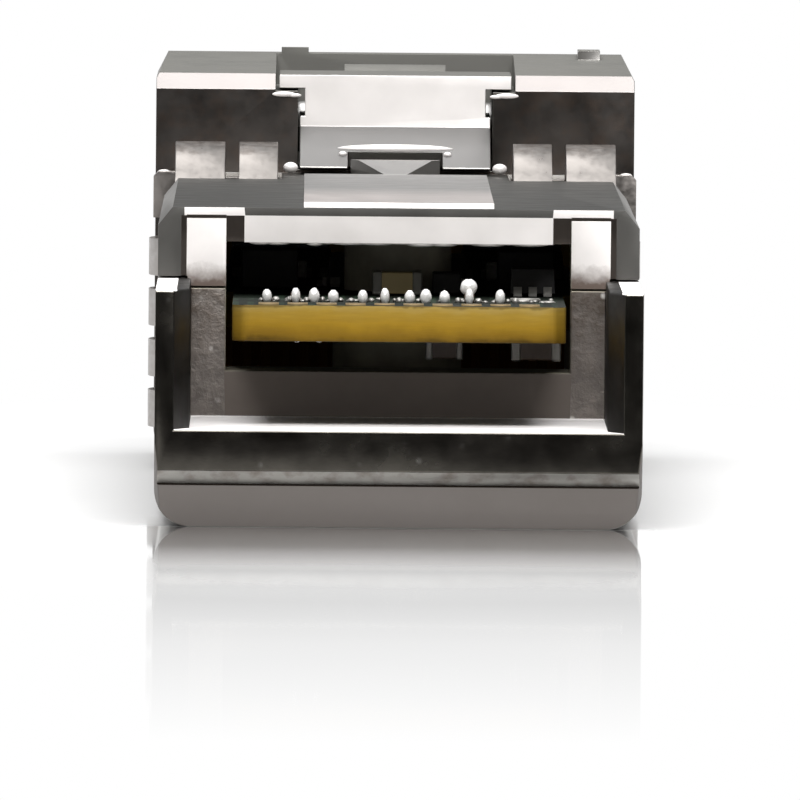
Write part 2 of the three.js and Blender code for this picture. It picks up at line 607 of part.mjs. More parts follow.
addPart('latch_side_shell', latchSideShell(), NICKEL);
addPart('label_side_shell', labelSideShell(), NICKEL_DARK);
addPart('spring_collar', springCollar(), SPRING_STEEL);
addPart('actuator_slider', actuatorSlider(), NICKEL);
addPart('return_spring', returnSpring(), STEEL);
addPart('bail_frame', bailFrame(), STEEL);
addPart('bail_grip', bailGrip(), BLACK_PLASTIC);
addPart('bail_shaft', bailShaft(), STEEL);
addPart('optical_receptacle', opticalInsert(), BLACK_PLASTIC);
addPart('optics_clamp', opticsClamp(), STEEL);
addPart('transmitter_barrel', opticalBarrel(HALF_PITCH), STEEL);
addPart('transmitter_can', opticalCan(HALF_PITCH), PLATED_GOLD);
addPart('transmitter_split_sleeve', splitSleeve(HALF_PITCH), CERAMIC);
addPart('transmitter_fibre_stub', fibreStub(HALF_PITCH), CERAMIC);
addPart('transmitter_flex', flexRibbon(HALF_PITCH - 0.2), FLEX_AMBER);
addPart('receiver_barrel', opticalBarrel(-HALF_PITCH), CLEAR_AMBER);
addPart('receiver_can', opticalCan(-HALF_PITCH), PLATED_GOLD);
addPart('receiver_split_sleeve', splitSleeve(-HALF_PITCH), CERAMIC);
addPart('receiver_flex', flexRibbon(-HALF_PITCH + 0.2), FLEX_AMBER);
addPart('circuit_board', circuitBoard(), BOARD_GREEN);
for (const [name, at, size, face, look] of BOARD_PARTS) {
  addPart(name, boardPart(at, size, face), look);
}
addPart('laser_driver_heat_pad', heatPad(3.3), PAD_GREY);
addPart('amplifier_heat_pad', heatPad(-3.3), PAD_GREY);
addPart('microwave_absorber', absorberPad(), CHIP_BLACK);
for (const [place, y] of Object.entries(SCREW_PLACES)) {
  addPart(`cover_screw_${place}`, coverScrew(y), STEEL);
}
addPart('blank_label', blankLabel(), LABEL_WHITE);

export default transceiver;
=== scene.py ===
import json
import math
import random

import bmesh
import bpy
from mathutils import Matrix, Vector


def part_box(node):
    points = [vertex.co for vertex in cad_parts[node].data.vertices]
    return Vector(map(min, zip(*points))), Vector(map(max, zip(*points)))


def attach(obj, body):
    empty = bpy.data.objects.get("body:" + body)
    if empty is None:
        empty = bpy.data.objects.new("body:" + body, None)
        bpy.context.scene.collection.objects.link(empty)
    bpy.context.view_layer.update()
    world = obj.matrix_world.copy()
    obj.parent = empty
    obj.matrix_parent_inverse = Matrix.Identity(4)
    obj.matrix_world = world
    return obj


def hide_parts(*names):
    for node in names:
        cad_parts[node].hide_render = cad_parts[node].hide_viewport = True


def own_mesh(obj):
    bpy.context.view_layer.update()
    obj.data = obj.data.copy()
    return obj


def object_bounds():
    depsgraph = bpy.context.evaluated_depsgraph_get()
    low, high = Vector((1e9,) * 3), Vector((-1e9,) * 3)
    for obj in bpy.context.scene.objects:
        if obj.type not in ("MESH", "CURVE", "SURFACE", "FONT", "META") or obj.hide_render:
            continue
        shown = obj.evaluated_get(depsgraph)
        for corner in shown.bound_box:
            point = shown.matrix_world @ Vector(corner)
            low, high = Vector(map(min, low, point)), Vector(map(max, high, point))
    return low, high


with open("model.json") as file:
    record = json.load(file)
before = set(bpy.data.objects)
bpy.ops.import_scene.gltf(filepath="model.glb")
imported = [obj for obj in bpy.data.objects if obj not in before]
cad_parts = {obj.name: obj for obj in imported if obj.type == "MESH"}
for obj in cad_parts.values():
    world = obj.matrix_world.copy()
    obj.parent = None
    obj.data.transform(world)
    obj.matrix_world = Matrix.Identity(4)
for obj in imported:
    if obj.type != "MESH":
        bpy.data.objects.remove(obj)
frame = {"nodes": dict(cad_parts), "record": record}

CAD_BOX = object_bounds()
MM = 0.001
NODES = frame["nodes"]
BODY_OF = {node: body for body, nodes in frame["record"]["behaviour"]["bodies"].items() for node in nodes}
SIDES = (-1, 1)
X_AXIS, Y_AXIS, Z_AXIS = range(3)


def box_mm(node):
    """Low and high corner of a CAD node, in mm."""
    return [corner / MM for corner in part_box(node)]


# ---------------------------------------------------------------- places in mm

SHELL_LOW, SHELL_HIGH = box_mm("label_side_shell")
BOARD_LOW, BOARD_HIGH = box_mm("circuit_board")
REAR_Y = SHELL_LOW.y
THROAT_Y = box_mm("latch_side_shell")[0].y
NOSE_Y = REAR_Y + 47.5
RAMP_Y = box_mm("actuator_slider")[0].y + 1.0
HALF_BODY = SHELL_HIGH.x

# heights where the paint or the rounding changes
SEAM_LOW = 1.0                  # the ledge above the lead-in, painted black as the seam's shadow line
SEAM_HIGH = 1.3
LEAD_IN_TOP = 1.25
STRIP_TOP = 1.6                 # the strip above the seam
TRAY_FLOOR = 2.67
SKIRT_TOP = SHELL_HIGH.z
THROAT_TOP = 7.53
BODY_TOP = 8.5
RECESS_TOP = BODY_TOP - 0.23    # the recesses in the corners of the wall around the throat
SLIDER_FACE_LOW = 9.5           # the slider's rear face, which takes a painted highlight
CHANNEL_GREY_LOW = 9.6          # the channel's faces take the nose's painted grey above this
SLOPE_LOW = 10.8                # the slope at the top of the nose's shoulder
NOSE_TOP_LOW = 11.0             # level faces above this are the nose's top

# distances from the middle plane
CHANNEL_OUTER = 3.6
RECESS_INNER = 4.3
BLOCK_INNER = 4.8
BLOCK_OUTER = 5.9
SKIRT_SHINE = 6.12              # the skirts' tops are painted white outside this as a reflection, and dark inside it as shade
MOUTH_OUTER = 6.3               # the mouth's side faces are all inside this


# ---------------------------------------------------------------- node-tree helpers

class Nodes:
    """Builds a node tree with short calls, whose values are constants or links."""

    def __init__(self, tree):
        self.tree = tree
        tree.nodes.clear()

    def add(self, kind, values=None, **settings):
        node = self.tree.nodes.new("ShaderNode" + kind)
        for key, value in settings.items():
            setattr(node, key, value)
        for key, value in (values or {}).items():
            self.feed(node.inputs[key], value)
        return node

    def feed(self, socket, value):
        if isinstance(value, bpy.types.NodeSocket):
            self.tree.links.new(value, socket)
        else:
            socket.default_value = value

    def math(self, operation, a, b=0.0):
        return self.add("Math", {0: a, 1: b}, operation=operation).outputs[0]

    def axis(self, name):
        place = self.add("TexCoord").outputs["Object"]
        return self.add("SeparateXYZ", {0: place}).outputs[name]

    def place(self, scale):
        coordinates = self.add("TexCoord").outputs["Object"]
        return self.add("Mapping", {"Vector": coordinates, "Scale": scale}).outputs[0]

    def noise(self, size_mm, detail=3.0, rough=0.55, stretch=(1, 1, 1)):
        where = self.place([s / (size_mm * MM) for s in stretch])
        values = {"Vector": where, "Scale": 1.0, "Detail": detail, "Roughness": rough}
        return self.add("TexNoise", values).outputs["Fac"]

    def cells(self, size_mm):
        where = self.place([1 / (size_mm * MM)] * 3)
        return self.add("TexVoronoi", {"Vector": where, "Scale": 1.0}).outputs["Distance"]

    def ramp(self, fac, stops):
        node = self.add("ValToRGB", {"Fac": fac})
        elements = node.color_ramp.elements
        while len(elements) > 1:
            elements.remove(elements[-1])
        for i, (position, value) in enumerate(stops):
            element = elements[0] if i == 0 else elements.new(position)
            element.position = position
            element.color = (*value, 1) if isinstance(value, (tuple, list)) else (value, value, value, 1)
        return node.outputs["Color"]

    def spread(self, fac, low, high, from_low=0.3, from_high=0.7):
        values = {"Value": fac, "From Min": from_low, "From Max": from_high, "To Min": low, "To Max": high}
        return self.add("MapRange", values).outputs["Result"]

    def blend(self, fac, a, b):
        node = self.add("Mix", data_type="RGBA", blend_type="MIX")
        self.feed(node.inputs["Factor"], fac)
        self.feed(node.inputs[6], a)
        self.feed(node.inputs[7], b)
        return node.outputs[2]

    def bump(self, height, strength, distance_mm, normal=None):
        values = {"Height": height, "Strength": strength, "Distance": distance_mm * MM}
        if normal is not None:
            values["Normal"] = normal
        return self.add("Bump", values).outputs["Normal"]

    def mix(self, fac, a, b):
        node = self.add("MixShader", {"Fac": fac})
        self.tree.links.new(a, node.inputs[1])
        self.tree.links.new(b, node.inputs[2])
        return node.outputs[0]

    def output(self, shader, kind="Material"):
        out = self.add("Output" + kind)
        self.tree.links.new(shader, out.inputs["Surface"])


def new_material(name):
    material = bpy.data.materials.new(name)
    material.use_nodes = True
    return material, Nodes(material.node_tree)


def colour(tint, factor=1.0):
    return (*[channel * factor for channel in tint], 1.0)


# ---------------------------------------------------------------- materials

def plated(name, tint, roughness, metallic=1.0, ripple=0.25, mottle=0.1, pits=0.0, brown=0.0, specks=0.0,
           shade_below_z=None, shine=0.5, lift=0.0, far=None):
    """Nickel-plated casting: a slow ripple, fine grain, cloudy roughness, and pits where it stayed as cast.

    Below a given height it turns dark brown as painted shade, and far is (axis, tint, from mm, to mm) for a
    tint that takes over along an axis. lift stands for the light that bounces around inside the mouth: the
    face glows."""
    material, n = new_material(name)
    cloud = n.noise(1.1, detail=3)
    grain = n.noise(0.09, detail=3)
    base = n.blend(n.spread(cloud, 0, 1), colour(tint, 1 - mottle), colour(tint))
    if far:
        axis, far_tint, start, end = far
        uneven = n.math("ADD", n.axis(axis), n.spread(n.noise(0.6, detail=4), -0.5 * MM, 0.5 * MM))
        base = n.blend(n.spread(uneven, 0, 1, start * MM, end * MM), base, colour(far_tint))
    # random brown blotches, up to the share given as brown
    if brown:
        brown_blotch = n.spread(n.noise(0.5, detail=4), 0, brown, 0.45, 0.7)
        base = n.blend(brown_blotch, base, colour((0.10, 0.065, 0.045)))
    # painted shade: dark brown below the given height
    if shade_below_z:
        edge = n.math("ADD", n.axis("Z"), n.spread(n.noise(0.3, detail=4), -0.12 * MM, 0.12 * MM))
        lower = n.spread(edge, 1, 0, (shade_below_z - 0.35) * MM, (shade_below_z + 0.25) * MM)
        base = n.blend(lower, base, colour((0.17, 0.13, 0.11)))
    rough = n.spread(cloud, roughness * 0.85, roughness * 1.2)
    height = n.math("ADD", n.math("MULTIPLY", cloud, ripple), n.math("MULTIPLY", grain, 0.06))
    normal = n.bump(height, 0.3, 0.06)
    if pits:
        hollows = n.spread(n.noise(0.3, detail=4, rough=0.6), 0, 1, 0.34, 0.62)
        normal = n.bump(hollows, pits, 0.06, normal)
        base = n.blend(hollows, colour(tint, 0.55), base)
    if specks:
        dots = n.spread(n.cells(0.55), 1, 0, 0.08, 0.2)
        chance = n.math("MULTIPLY", dots, n.spread(cloud, 0, specks, 0.45, 0.6))
        base = n.blend(chance, base, colour((0.9, 0.88, 0.85)))
    values = {"Base Color": base, "Metallic": metallic, "Roughness": rough, "Normal": normal,
              "Specular IOR Level": shine, "Emission Color": base, "Emission Strength": lift}
    n.output(n.add("BsdfPrincipled", values).outputs[0])
    return material


def sheet_metal(name, tint, roughness, grain_mm=0.2, stretch=(1, 1, 1), metallic=1.0, darker_above_z=None):
    """Rolled sheet with a fine grain; above the given height it turns dark and cloudy."""
    material, n = new_material(name)
    grain = n.noise(grain_mm, detail=4, stretch=stretch)
    base = n.blend(n.spread(grain, 0, 1), colour(tint, 0.86), colour(tint))
    if darker_above_z:
        edge = n.math("ADD", n.axis("Z"), n.spread(n.noise(0.35, detail=4), -0.22 * MM, 0.22 * MM))
        upper = n.spread(edge, 0, 0.85, (darker_above_z - 0.2) * MM, (darker_above_z + 0.2) * MM)
        base = n.blend(upper, base, colour((0.13, 0.105, 0.09)))
    rough = n.spread(grain, roughness * 0.8, roughness * 1.25)
    normal = n.bump(grain, 0.1, 0.02)
    values = {"Base Color": base, "Metallic": metallic, "Roughness": rough, "Normal": normal}
    n.output(n.add("BsdfPrincipled", values).outputs[0])
    return material


def moulded(name, tint, roughness, grain_mm=0.12, strength=0.15, speckle=0.12):
    """Plastic, ceramic or film with a fine grain and a slightly cloudy colour."""
    material, n = new_material(name)
    grain = n.noise(grain_mm, detail=5, rough=0.65)
    cloud = n.noise(grain_mm * 12, detail=3)
    base = n.blend(n.spread(cloud, 0, 1), colour(tint, 1 - speckle), colour(tint))
    rough = n.spread(grain, roughness * 0.85, min(1, roughness * 1.15))
    values = {"Base Color": base, "Roughness": rough, "Normal": n.bump(grain, strength, 0.02)}
    n.output(n.add("BsdfPrincipled", values).outputs[0])
    return material


def laminate_edge():
    """Cut glass-epoxy: amber, with fine weave layers, darker towards the routed lower edge and the ends."""
    material, n = new_material("laminate_edge")
    layers = n.noise(0.1, detail=4, stretch=(0.12, 0.12, 1))
    mottle = n.noise(0.8, detail=3)
    heights = {"From Min": BOARD_LOW.z * MM, "From Max": BOARD_HIGH.z * MM}
    across = n.add("MapRange", {"Value": n.axis("Z"), **heights}).outputs["Result"]
    uneven = n.math("ADD", across, n.spread(mottle, -0.08, 0.08))
    amber = n.ramp(uneven, [
        (0.0, (0.045, 0.024, 0.001)), (0.12, (0.13, 0.072, 0.003)), (0.45, (0.235, 0.137, 0.008)),
        (0.8, (0.26, 0.165, 0.022)), (0.95, (0.27, 0.19, 0.05)), (1.0, (0.13, 0.09, 0.025)),
    ])
    base = n.blend(n.spread(layers, 0, 0.3), amber, colour((0.15, 0.09, 0.012)))
    ends = n.spread(n.math("ABSOLUTE", n.axis("X")), 0.0, 0.55, 4.1 * MM, 4.65 * MM)
    base = n.blend(ends, base, colour((0.06, 0.036, 0.005)))
    normal = n.bump(layers, 0.3, 0.03)
    values = {"Base Color": base, "Roughness": 0.7, "Normal": normal, "Specular IOR Level": 0.12}
    n.output(n.add("BsdfPrincipled", values).outputs[0])
    return material


def solder_mask():
    """Dark green lacquer over copper traces, seen as fine raised lines along the board."""
    material, n = new_material("solder_mask")
    weave = n.noise(0.2, detail=3)
    lanes = n.math("SINE", n.math("MULTIPLY", n.axis("X"), 2 * math.pi / (0.42 * MM)))
    runs = n.spread(n.noise(1.6, detail=1), 0, 1, 0.45, 0.5)
    trace = n.math("MULTIPLY", n.spread(lanes, 0, 1, 0.1, 0.35), runs)
    base = n.blend(trace, colour((0.009, 0.012, 0.009)), colour((0.016, 0.026, 0.017)))
    normal = n.bump(n.math("ADD", trace, n.math("MULTIPLY", weave, 0.2)), 0.3, 0.03)
    values = {"Base Color": base, "Roughness": 0.6, "Normal": normal, "Specular IOR Level": 0.1}
    n.output(n.add("BsdfPrincipled", values).outputs[0])
    return material


def flex_film():
    """Amber polyimide with copper traces running along it."""
    material, n = new_material("flex_film")
    lanes = n.math("SINE", n.math("MULTIPLY", n.axis("X"), 2 * math.pi / (0.55 * MM)))
    trace = n.spread(lanes, 0, 1, 0.0, 0.2)
    grain = n.noise(0.3, detail=3)
    film = n.blend(n.spread(grain, 0, 1), colour((0.36, 0.15, 0.02)), colour((0.46, 0.20, 0.03)))
    base = n.blend(trace, film, colour((0.62, 0.30, 0.08)))
    normal = n.bump(trace, 0.4, 0.03)
    n.output(n.add("BsdfPrincipled", {"Base Color": base, "Roughness": 0.32, "Normal": normal}).outputs[0])
    return material


# Copies of one nickel plating, from here to TRAY_BRIGHT and BLOCK further down: each is tinted lighter or
# darker for the faces it goes on, as painted light and shade.
# DARK_MIRROR: the rear face and the skirts, tinted dark as painted shade.
DARK_MIRROR = plated("nickel_mirror_painted_shade", (0.128, 0.119, 0.103), 0.24, ripple=0.2, mottle=0.45, specks=0.16)
SATIN = plated("nickel_satin", (0.34, 0.33, 0.315), 0.36, ripple=0.25)
# the roof's level top, tinted dark as painted shade
ROOF_TOP = plated("nickel_roof_painted_shade", (0.088, 0.086, 0.08), 0.4, ripple=0.2)
SLOPE = plated("nickel_slope", (0.33, 0.305, 0.295), 0.4, metallic=0.6, ripple=0.3)
RAMP = plated("nickel_ramp", (0.17, 0.166, 0.162), 0.5, metallic=0.6, ripple=0.3, mottle=0.15)
# the ledge at the seam, painted near black and dull: a painted shadow line
SEAM_SHADOW = plated("seam_painted_shadow", (0.02, 0.016, 0.013), 0.9, metallic=0.0, ripple=0.1, shine=0.0)
INNER = plated("nickel_inner", (0.4, 0.37, 0.29), 0.6, metallic=0.1, ripple=0.3, mottle=0.4, lift=0.006)
RAISED_STRIP = plated("nickel_raised_strip", (0.44, 0.405, 0.39), 0.45, metallic=0.6, ripple=0.3, mottle=0.1,
                      far=("Y", (0.26, 0.253, 0.247), THROAT_Y + 8, THROAT_Y + 16))
TOP_GREY = plated("nickel_nose_top", (0.158, 0.155, 0.142), 0.6, metallic=0.5, ripple=0.2, mottle=0.06)
# the mouth's inner side faces and the skirts' inner tops, tinted almost black as painted shade
MOUTH = plated("nickel_mouth_painted_shade", (0.03, 0.028, 0.026), 0.45, ripple=0.2, mottle=0.3)
# the nose's flank walls, tinted dark as painted shade, with brown blotches as painted soft reflections
FLANK = plated("nickel_flank_painted_shade", (0.075, 0.068, 0.063), 0.38, ripple=0.3, mottle=0.3, brown=0.3)
# the end wall: its dark tint is painted shade, and its glow (lift) is painted bounce light that keeps it even
END_WALL = plated("nickel_end_wall", (0.12, 0.102, 0.09), 0.6, metallic=0.0, ripple=0.1, mottle=0.1,
                  shine=0.1, lift=0.17)
GREY_FACE = plated("nickel_grey_face", (0.095, 0.092, 0.086), 0.5, metallic=0.55, ripple=0.2)
LEAD_IN = plated("nickel_lead_in", (0.132, 0.118, 0.109), 0.6, metallic=0.25, ripple=0.1, mottle=0.04)
STRIP = plated("nickel_strip", (0.38, 0.368, 0.344), 0.5, metallic=0.6, ripple=0.2, mottle=0.1, brown=0.5)
AS_CAST = plated("nickel_as_cast", (0.27, 0.238, 0.215), 0.5, metallic=0.5, ripple=0.4, mottle=0.45,
                 pits=0.3, specks=0.6, far=("Z", (0.10, 0.08, 0.066), 3.7, 5.6))
# painted highlight: near-white nickel for the throat's wall, the slider's rear face and the small bright
# blobs
BRIGHT = plated("nickel_painted_highlight", (0.88, 0.845, 0.825), 0.42, metallic=0.25, ripple=0.3, mottle=0.06)
# painted reflection: the tray's floor and the skirts' outer tops are near white, as if mirroring the bright
# room at a grazing angle
TRAY_BRIGHT = plated("tray_floor_painted_reflection", (0.98, 0.95, 0.935), 0.6, metallic=0.0, ripple=0.3, mottle=0.04)
COLLAR_METAL = sheet_metal("collar_sheet", (0.34, 0.315, 0.296), 0.34, stretch=(1, 0.25, 1), darker_above_z=9.4)
STEEL = sheet_metal("bright_steel", (0.56, 0.55, 0.54), 0.32, grain_mm=0.7)
GOLD = sheet_metal("gold_plate", (0.86, 0.62, 0.25), 0.36)
SOLDER = sheet_metal("tinned_solder", (0.9, 0.89, 0.87), 0.35, grain_mm=0.1, metallic=0.35)
TERMINAL = sheet_metal("tinned_terminal", (0.34, 0.33, 0.31), 0.45, grain_mm=0.1, metallic=0.8)
# dull, dark gold contacts
CONTACT = sheet_metal("dull_contact", (0.20, 0.135, 0.05), 0.55, grain_mm=0.15, metallic=0.4)
BLACK_PLASTIC = moulded("black_moulding", (0.018, 0.018, 0.020), 0.5)
AMBER_PLASTIC = moulded("amber_moulding", (0.16, 0.08, 0.025), 0.25)
CERAMIC = moulded("ground_ceramic", (0.86, 0.84, 0.79), 0.3, speckle=0.04)
CHIP = moulded("chip_package", (0.020, 0.019, 0.020), 0.48, grain_mm=0.06)
TANTALUM = moulded("tantalum_body", (0.42, 0.33, 0.16), 0.5, grain_mm=0.08)
CAPACITOR = moulded("fired_capacitor", (0.10, 0.065, 0.045), 0.4, grain_mm=0.08)
FERRITE = moulded("sintered_ferrite", (0.05, 0.05, 0.055), 0.6, grain_mm=0.08)
HEAT_PAD = moulded("heat_pad", (0.30, 0.34, 0.40), 0.85, grain_mm=0.2, strength=0.4)
LABEL_FILM = moulded("label_film", (0.80, 0.80, 0.78), 0.45, grain_mm=0.3, speckle=0.03)
# the upper blocks beside the throat: near white as a painted highlight, dark brown along their foot as
# painted shade
BLOCK = plated("nickel_block_painted_highlight", (0.90, 0.865, 0.845), 0.42, metallic=0.2, ripple=0.3, mottle=0.06, shade_below_z=6.75)
FLEX_FILM = flex_film()
LAMINATE = laminate_edge()
MASK = solder_mask()


# ---------------------------------------------------------------- mesh helpers

def show(mesh, name, node, materials):
    """Puts a mesh in the scene as a piece that rides with its node's body."""
    piece = bpy.data.objects.new(name, mesh)
    bpy.context.scene.collection.objects.link(piece)
    for material in materials:
        mesh.materials.append(material)
    for polygon in mesh.polygons:
        polygon.use_smooth = True
    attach(piece, BODY_OF[node])
    return piece


def add_bevel(piece, width_mm, segments, weighted=False):
    bevel = piece.modifiers.new("edge_rounding", "BEVEL")
    bevel.width = width_mm * MM
    bevel.segments = segments
    bevel.limit_method = "WEIGHT" if weighted else "ANGLE"
    bevel.angle_limit = math.radians(28)
    bevel.harden_normals = True


def split_faces(work, chosen, planes):
    """Cuts the chosen faces along planes given as (axis, place in mm)."""
    for axis, value in planes:
        faces = [face for face in work.faces if chosen(face.calc_center_median() / MM, face.normal)]
        parts = faces + list({edge for face in faces for edge in face.edges})
        parts += list({vert for face in faces for vert in face.verts})
        normal = Vector([1.0 if axis == i else 0.0 for i in range(3)])
        bmesh.ops.bisect_plane(work, geom=parts, dist=1e-7, plane_co=normal * value * MM, plane_no=normal)


def rounded_copy(node, name, width_mm, materials, paint=None, segments=3,
                 split=(), width_at=None, widest_mm=0.0):
    """The node's own shape with its edges rounded.

    split is a list of (chosen faces, planes) to divide before painting. paint(centre, normal) picks each
    face's material. width_at(middle) gives an edge's own rounding, up to widest_mm, or None for width_mm."""
    mesh = NODES[node].data.copy()
    mesh.name = name
    mesh.materials.clear()
    work = bmesh.new()
    work.from_mesh(mesh)
    bmesh.ops.remove_doubles(work, verts=work.verts, dist=0.002 * MM)
    bmesh.ops.dissolve_limit(work, angle_limit=math.radians(1), verts=work.verts, edges=work.edges)
    work.normal_update()
    for chosen, planes in split:
        split_faces(work, chosen, planes)
    if paint:
        for face in work.faces:
            face.material_index = materials.index(paint(face.calc_center_median() / MM, face.normal))
    if width_at:
        layer = work.edges.layers.float.new("bevel_weight_edge")
        for edge in work.edges:
            if edge.is_manifold and edge.calc_face_angle() > math.radians(28):
                own = width_at((edge.verts[0].co + edge.verts[1].co) / 2 / MM)
                edge[layer] = (width_mm if own is None else own) / widest_mm
                edge.smooth = own != 0
    work.to_mesh(mesh)
    work.free()
    piece = show(mesh, name, node, materials)
    add_bevel(piece, widest_mm if width_at else width_mm, segments, bool(width_at))
    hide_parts(node)
    return piece


class Shape:
    """Collects simple closed solids, sizes in mm, into one mesh.

    A solid's material is given by its place in the list that piece() gets."""

    def __init__(self):
        self.work = bmesh.new()

    def mark(self, verts, material):
        for face in {face for vert in verts for face in vert.link_faces}:
            face.material_index = material

    def block(self, low, high, material=0, taper=0.0):
        middle = (Vector(low) + Vector(high)) / 2 * MM
        size = (Vector(high) - Vector(low)) * MM
        made = bmesh.ops.create_cube(self.work, size=1.0)["verts"]
        for vert in made:
            shrink = 1 - taper if vert.co.z > 0 else 1
            scale = Vector((size.x * shrink, size.y * shrink, size.z))
            vert.co = vert.co * scale + middle
        self.mark(made, material)

    def blob(self, centre, radii, material=0, wobble=0.0, chance=None):
        made = bmesh.ops.create_uvsphere(self.work, u_segments=14, v_segments=9, radius=1.0)["verts"]
        for vert in made:
            grow = 1 + (chance.uniform(-wobble, wobble) if chance else 0)
            vert.co = Vector([(c + r * p * grow) * MM for c, r, p in zip(centre, radii, vert.co)])
        self.mark(made, material)

    def piece(self, name, node, materials, width_mm=0.0, segments=2):
        mesh = bpy.data.meshes.new(name)
        self.work.normal_update()
        self.work.to_mesh(mesh)
        self.work.free()
        made = show(mesh, name, node, materials)
        if width_mm:
            add_bevel(made, width_mm, segments)
        return made


# ---------------------------------------------------------------- camera, light and floor

def make_camera():
    """Long lens, a little above the module and almost level with it."""
    aside, distance, height = -2.6, 700.0, 28.2
    data = bpy.data.cameras.new("camera")
    data.sensor_width = 36
    data.lens = 1149.75
    data.clip_start = 0.05
    data.clip_end = 20
    camera = bpy.data.objects.new("camera", data)
    bpy.context.scene.collection.objects.link(camera)
    camera.location = Vector((aside, REAR_Y - distance, height)) * MM
    pitch, yaw, roll = math.radians(-2.017), math.radians(-0.2153), math.radians(0.5)
    level = Matrix.Rotation(yaw, 4, "Z") @ Matrix.Rotation(math.pi / 2 + pitch, 4, "X")
    camera.rotation_euler = (level @ Matrix.Rotation(roll, 4, "Z")).to_euler()
    bpy.context.scene.camera = camera


def make_world():
    """A white studio with a grey band above the horizon and a dark side towards the host end."""
    world = bpy.data.worlds.new("studio")
    bpy.context.scene.world = world
    world.use_nodes = True
    n = Nodes(world.node_tree)
    axes = n.add("SeparateXYZ", {0: n.add("TexCoord").outputs["Generated"]})
    height = n.ramp(axes.outputs["Z"], [(0.0, 1.0), (0.06, 1.0), (0.1, 0.28), (0.4, 0.3), (0.7, 0.85)])
    behind = n.spread(axes.outputs["Y"], 1, 0, -0.55, -0.15)
    low = n.spread(axes.outputs["Z"], 1, 0, 0.35, 0.7)
    path = n.add("LightPath")
    shade = n.blend(path.outputs["Is Diffuse Ray"], colour((0.022, 0.02, 0.019)), colour((0.3, 0.29, 0.27)))
    room = n.blend(n.math("MULTIPLY", behind, low), height, shade)
    backdrop = n.blend(path.outputs["Is Camera Ray"], room, colour((1, 1, 1)))
    n.output(n.add("Background", {"Color": backdrop, "Strength": 1.0}).outputs[0], "World")


def floor_material():
    """White sheet with a faint mirror image near the module, which falls off to the white backdrop.

    The mirror image is only as wide as the module and only seen at a grazing angle. In the module's own
    reflections the floor in front of its rear edge is dark."""
    material, n = new_material("pale_floor")
    x, y = n.axis("X"), n.axis("Y")
    near = REAR_Y * MM
    first, last = near - 130 * MM, near + 20 * MM
    reach = n.spread(y, 0, 1, first, last)
    fade = n.ramp(reach, [
        (0.0, 0.0), (0.067, 0.0), (0.4, 0.16), (0.6, 0.33), (0.7, 0.54),
        (0.787, 0.93), (0.868, 1.0), (0.88, 0.3), (0.92, 0.0),
    ])
    fade = n.math("MULTIPLY", fade, n.spread(n.math("ABSOLUTE", x), 1, 0.35, 6.4 * MM, 7.6 * MM))
    grazing = n.spread(n.add("Fresnel", {"IOR": 1.45}).outputs[0], 0, 1, 0.06, 0.8)
    fade = n.math("MULTIPLY", fade, grazing)
    across = n.math("POWER", n.math("DIVIDE", x, 26 * MM), 2.0)
    along = n.math("POWER", n.math("DIVIDE", y, 75 * MM), 2.0)
    away = n.spread(n.math("ADD", across, along), 0, 1, 0.3, 1.0)
    sheet = n.add("BsdfDiffuse", {"Color": colour((0.58, 0.58, 0.58))}).outputs[0]
    glow = n.add("Emission", {"Color": colour((1, 1, 1)), "Strength": 1.0}).outputs[0]
    mirror = n.add("BsdfGlossy", {"Color": colour((1, 1, 1)), "Roughness": 0.03}).outputs[0]
    unlit = n.add("BsdfDiffuse", {"Color": colour((0.03, 0.03, 0.03))}).outputs[0]
    white = n.mix(away, sheet, glow)
    front = n.spread(y, 1, 0, near - 14 * MM, near - 4 * MM)
    hidden = n.math("MULTIPLY", n.add("LightPath").outputs["Is Glossy Ray"], front)
    n.output(n.mix(hidden, n.mix(fade, white, mirror), unlit))
    return material


def make_floor():
    material = floor_material()
    work = bmesh.new()
    bmesh.ops.create_grid(work, x_segments=8, y_segments=8, size=3.0)
    mesh = bpy.data.meshes.new("floor")
    work.to_mesh(mesh)
    work.free()
    mesh.materials.append(material)
    floor = bpy.data.objects.new("floor", mesh)
    bpy.context.scene.collection.objects.link(floor)
    floor.location.z = CAD_BOX[0].z


def area_light(name, place_mm, target_mm, size_mm, power):
    data = bpy.data.lights.new(name, "AREA")
    data.shape = "RECTANGLE"
    data.size, data.size_y = size_mm[0] * MM, size_mm[1] * MM
    data.energy = power
    light = bpy.data.objects.new(name, data)
    bpy.context.scene.collection.objects.link(light)
    light.location = Vector(place_mm) * MM
    aim = (Vector(target_mm) - Vector(place_mm)).normalized()
    light.rotation_euler = aim.to_track_quat("-Z", "Y").to_euler()


def make_lights():
    """A large softbox overhead, and a second one on the side of the camera."""
    area_light("overhead_softbox", (0, 40, 420), (0, 0, 0), (380, 380), 1.6)
    area_light("rear_softbox", (0, -330, 330), (0, -20, 4), (300, 160), 2.2)


# ---------------------------------------------------------------- housing

def at_rear_face(centre, normal):
    return normal.y < -0.9 and centre.y < REAR_Y + 0.1


def on_skirt_top(centre, normal):
    return normal.z > 0.9 and abs(centre.z - SKIRT_TOP) < 0.1


def at_throat(centre, normal):
    return normal.y < -0.9 and abs(centre.y - THROAT_Y) < 0.1


def within(centre):
    """True for the faces between the housing's walls, from the throat to short of the nose."""
    between = abs(centre.x) < BLOCK_OUTER and 0.3 < centre.z < BODY_TOP - 0.4
    return between and THROAT_Y < centre.y < NOSE_Y - 7


